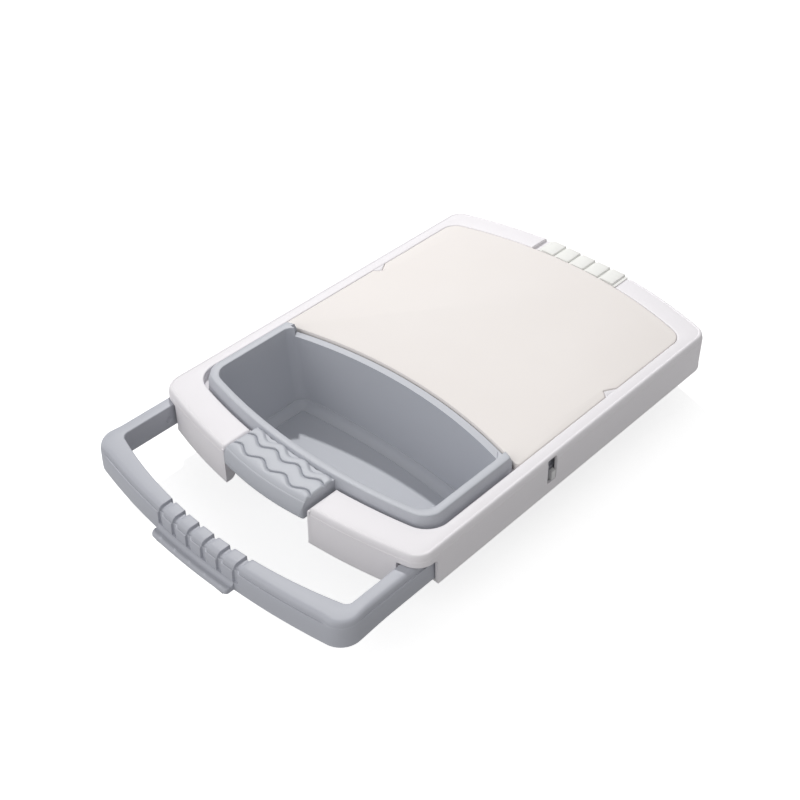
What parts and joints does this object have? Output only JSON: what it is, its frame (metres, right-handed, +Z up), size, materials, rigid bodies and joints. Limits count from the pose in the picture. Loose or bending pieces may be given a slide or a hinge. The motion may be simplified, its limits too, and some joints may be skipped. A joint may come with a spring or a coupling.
{
  "type": "over-sink cutting board",
  "caption": "Skirted over-sink board with a lift-out cutting plate, a lift-out bin with a wave-grooved tab and a sliding U handle.",
  "frame": {"origin": "middle of the rear foot's underside, where the board rests on the sink's rear edge", "axes": "+Z up, -Y towards the sliding handle, +X across the board"},
  "size_m": [0.25, 0.4275, 0.068],
  "materials": {
    "frame": "satin polypropylene, white",
    "plate": "fine matte polyethylene, warm white",
    "grey": "glossy polypropylene, cool grey",
    "grip": "soft matte elastomer, off-white",
    "rail": "matte acetal, white",
    "steel": "stainless steel",
    "foot": "soft matte elastomer, grey"
  },
  "bodies": {
    "frame": {"frame": "frame", "rear_grip": "grip", "left_rail": "rail", "right_rail": "rail", "left_detent_spring": "steel", "right_detent_spring": "steel", "rail_screws": "steel", "spring_rivets": "steel", "rear_foot": "foot"},
    "handle": {"handle": "grey", "stop_pins": "steel", "front_foot": "foot"},
    "bin": {"bin": "grey"},
    "plate": {"cutting_plate": "plate"}
  },
  "joints": [
    {"name": "handle_slide", "type": "slide", "parent": "frame", "child": "handle", "axis": [0, -1, 0], "range_m": [-0.0375, 0.0375]},
    {"name": "bin_lift", "type": "slide", "parent": "frame", "child": "bin", "axis": [0, 0, 1], "range_m": [0, 0.08]},
    {"name": "plate_lift", "type": "slide", "parent": "frame", "child": "plate", "axis": [0, 0, 1], "range_m": [0, 0.04]}
  ]
}
